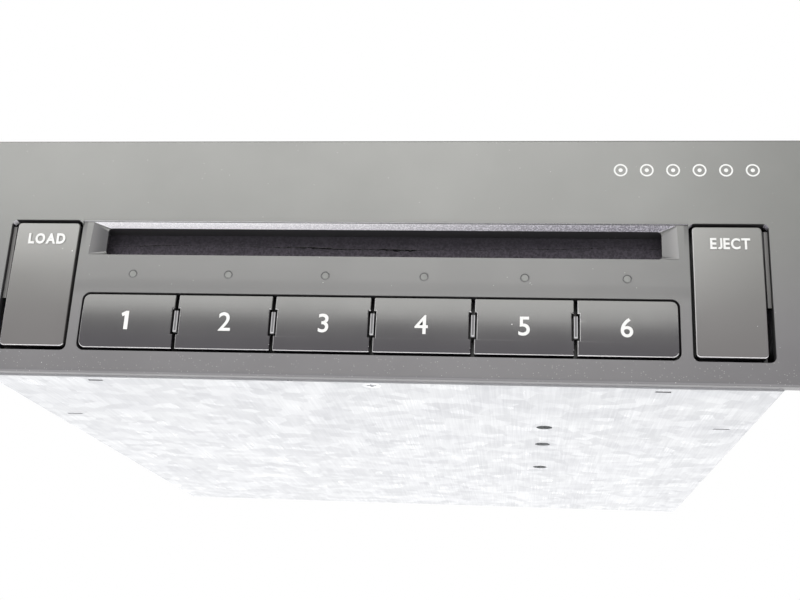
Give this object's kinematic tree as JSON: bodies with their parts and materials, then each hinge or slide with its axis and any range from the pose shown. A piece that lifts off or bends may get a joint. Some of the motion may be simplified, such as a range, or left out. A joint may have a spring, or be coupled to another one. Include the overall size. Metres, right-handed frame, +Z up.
{
  "type": "in-dash disc changer",
  "caption": "Slot-loading in-dash disc changer with numbered disc keys, load and eject keys, a folded steel case and a stocker mechanism inside.",
  "frame": {"origin": "centre of the unit's outline on the plane of the case's underside", "axes": "+X to the right, +Y from the front into the unit, +Z up"},
  "size_m": [0.193, 0.1854, 0.0583],
  "materials": {
    "front_plastic": "fine matt grain",
    "key_plastic": "satin with a soft sheen",
    "case_steel": "zinc-plated sheet",
    "bright_steel": "bright plated steel",
    "board_green": "solder mask",
    "black_plastic": "moulded, matt",
    "white_plastic": "natural acetal",
    "lamp_clear": "clear cast resin",
    "soft_rubber": "soft, matt",
    "dark_felt": "fuzzy felt",
    "ribbon_film": "polyimide film"
  },
  "bodies": {
    "chassis": {"fascia": "front_plastic", "key_frame": "front_plastic", "keypad_mat": "soft_rubber", "front_board": "board_green", "board_screws": "bright_steel", "light_pipes": "front_plastic", "indicator_lamps": "lamp_clear", "dust_felts": "dark_felt", "fascia_screw": "bright_steel", "bottom_case": "case_steel", "top_cover": "case_steel", "cover_screws": "bright_steel", "main_board": "board_green", "board_chips": "black_plastic", "rear_connector": "black_plastic", "flex_ribbon": "ribbon_film", "mech_base": "case_steel", "mech_top_plate": "case_steel", "mech_posts": "bright_steel", "damper_bushes": "soft_rubber", "damper_screws": "bright_steel", "roller_bracket_left": "case_steel", "roller_bracket_right": "case_steel", "load_motor": "case_steel", "disc_guide": "black_plastic", "lift_motor": "case_steel", "lift_belt": "soft_rubber"},
    "disc_key_1": {"disc_key_1": "key_plastic"},
    "disc_key_2": {"disc_key_2": "key_plastic"},
    "disc_key_3": {"disc_key_3": "key_plastic"},
    "disc_key_4": {"disc_key_4": "key_plastic"},
    "disc_key_5": {"disc_key_5": "key_plastic"},
    "disc_key_6": {"disc_key_6": "key_plastic"},
    "load_key": {"load_key": "key_plastic"},
    "eject_key": {"eject_key": "key_plastic"},
    "roller": {"roller_shaft": "bright_steel", "roller_sleeves": "soft_rubber", "roller_gear": "white_plastic"},
    "idler": {"idler_gear": "white_plastic"},
    "pinion": {"pinion_shaft": "bright_steel"},
    "stocker": {"tray_1": "white_plastic", "tray_2": "white_plastic", "tray_3": "white_plastic", "tray_4": "white_plastic", "tray_5": "white_plastic", "tray_6": "white_plastic", "stock_carrier": "white_plastic"},
    "lift_screw_1": {"lift_screw_1": "white_plastic"},
    "lift_screw_2": {"lift_screw_2": "white_plastic"},
    "lift_screw_3": {"lift_screw_3": "white_plastic"},
    "lift_screw_4": {"lift_screw_4": "white_plastic"},
    "lift_pulley": {"lift_motor_pulley": "white_plastic"},
    "deck": {"deck_plate": "black_plastic", "spindle_motor": "case_steel", "sled_rods": "bright_steel"},
    "turntable": {"turntable": "black_plastic"},
    "sled": {"pickup_sled": "black_plastic"},
    "sled_screw": {"sled_screw": "bright_steel"},
    "clamp": {"clamp_arm": "black_plastic"},
    "clamper": {"clamper": "black_plastic"}
  },
  "joints": [
    {"name": "disc_key_1_press", "type": "slide", "parent": "chassis", "child": "disc_key_1", "axis": [0, 1, 0], "range_m": [0, 0.0008], "stiffness_N_per_m": 600, "springref_m": -0.0005},
    {"name": "disc_key_2_press", "type": "slide", "parent": "chassis", "child": "disc_key_2", "axis": [0, 1, 0], "range_m": [0, 0.0008], "stiffness_N_per_m": 600, "springref_m": -0.0005},
    {"name": "disc_key_3_press", "type": "slide", "parent": "chassis", "child": "disc_key_3", "axis": [0, 1, 0], "range_m": [0, 0.0008], "stiffness_N_per_m": 600, "springref_m": -0.0005},
    {"name": "disc_key_4_press", "type": "slide", "parent": "chassis", "child": "disc_key_4", "axis": [0, 1, 0], "range_m": [0, 0.0008], "stiffness_N_per_m": 600, "springref_m": -0.0005},
    {"name": "disc_key_5_press", "type": "slide", "parent": "chassis", "child": "disc_key_5", "axis": [0, 1, 0], "range_m": [0, 0.0008], "stiffness_N_per_m": 600, "springref_m": -0.0005},
    {"name": "disc_key_6_press", "type": "slide", "parent": "chassis", "child": "disc_key_6", "axis": [0, 1, 0], "range_m": [0, 0.0008], "stiffness_N_per_m": 600, "springref_m": -0.0005},
    {"name": "load_key_press", "type": "slide", "parent": "chassis", "child": "load_key", "axis": [0, 1, 0], "range_m": [0, 0.0008], "stiffness_N_per_m": 600, "springref_m": -0.0005},
    {"name": "eject_key_press", "type": "slide", "parent": "chassis", "child": "eject_key", "axis": [0, 1, 0], "range_m": [0, 0.0008], "stiffness_N_per_m": 600, "springref_m": -0.0005},
    {"name": "roller_spin", "type": "hinge", "parent": "chassis", "child": "roller", "pos_m": [0, -0.07075, 0.02825], "axis": [1, 0, 0], "continuous": true},
    {"name": "idler_spin", "type": "hinge", "parent": "chassis", "child": "idler", "pos_m": [0.066, -0.05875, 0.02825], "axis": [1, 0, 0], "continuous": true},
    {"name": "pinion_spin", "type": "hinge", "parent": "chassis", "child": "pinion", "pos_m": [0.066, -0.05335, 0.02105], "axis": [1, 0, 0], "continuous": true},
    {"name": "stocker_lift", "type": "slide", "parent": "chassis", "child": "stocker", "axis": [0, 0, 1], "range_m": [0, 0.018]},
    {"name": "lift_screw_1_turn", "type": "hinge", "parent": "chassis", "child": "lift_screw_1", "pos_m": [-0.0685, 0.02525, 0.0122], "axis": [0, 0, 1], "range_deg": [0, 1081]},
    {"name": "lift_screw_2_turn", "type": "hinge", "parent": "chassis", "child": "lift_screw_2", "pos_m": [0.0685, 0.02525, 0.0122], "axis": [0, 0, 1], "range_deg": [0, 1081]},
    {"name": "lift_screw_3_turn", "type": "hinge", "parent": "chassis", "child": "lift_screw_3", "pos_m": [-0.0685, 0.07225, 0.0122], "axis": [0, 0, 1], "range_deg": [0, 1081]},
    {"name": "lift_screw_4_turn", "type": "hinge", "parent": "chassis", "child": "lift_screw_4", "pos_m": [0.0685, 0.07225, 0.0122], "axis": [0, 0, 1], "range_deg": [0, 1081]},
    {"name": "lift_pulley_turn", "type": "hinge", "parent": "chassis", "child": "lift_pulley", "pos_m": [0.078, 0.04825, 0.0122], "axis": [0, 0, 1], "range_deg": [0, 1081]},
    {"name": "deck_swing", "type": "hinge", "parent": "chassis", "child": "deck", "pos_m": [-0.06, -0.05075, 0.0122], "axis": [0, 0, 1], "range_deg": [0, 41.4]},
    {"name": "turntable_spin", "type": "hinge", "parent": "deck", "child": "turntable", "pos_m": [0.02, -0.05075, 0.0215], "axis": [0, 0, 1], "continuous": true},
    {"name": "sled_slide", "type": "slide", "parent": "deck", "child": "sled", "axis": [-1, 0, 0], "range_m": [0, 0.03]},
    {"name": "sled_screw_turn", "type": "hinge", "parent": "deck", "child": "sled_screw", "pos_m": [0, -0.06445, 0.0245], "axis": [1, 0, 0], "range_deg": [0, 2161]},
    {"name": "clamp_lift", "type": "hinge", "parent": "deck", "child": "clamp", "pos_m": [-0.064, -0.05075, 0.0376], "axis": [0, -1, 0], "range_deg": [0, 4]},
    {"name": "clamper_spin", "type": "hinge", "parent": "clamp", "child": "clamper", "pos_m": [0.02, -0.05075, 0.03685], "axis": [0, 0, 1], "continuous": true}
  ],
  "couplings": [
    {"joint": "idler_spin", "follows": "roller_spin", "ratio": -1},
    {"joint": "pinion_spin", "follows": "roller_spin", "ratio": 2},
    {"joint": "lift_screw_1_turn", "follows": "stocker_lift", "rad_per_m": 1047.2},
    {"joint": "lift_screw_2_turn", "follows": "stocker_lift", "rad_per_m": 1047.2},
    {"joint": "lift_screw_3_turn", "follows": "stocker_lift", "rad_per_m": 1047.2},
    {"joint": "lift_screw_4_turn", "follows": "stocker_lift", "rad_per_m": 1047.2},
    {"joint": "lift_pulley_turn", "follows": "stocker_lift", "rad_per_m": 1047.2},
    {"joint": "sled_screw_turn", "follows": "sled_slide", "rad_per_m": 1256.6}
  ]
}
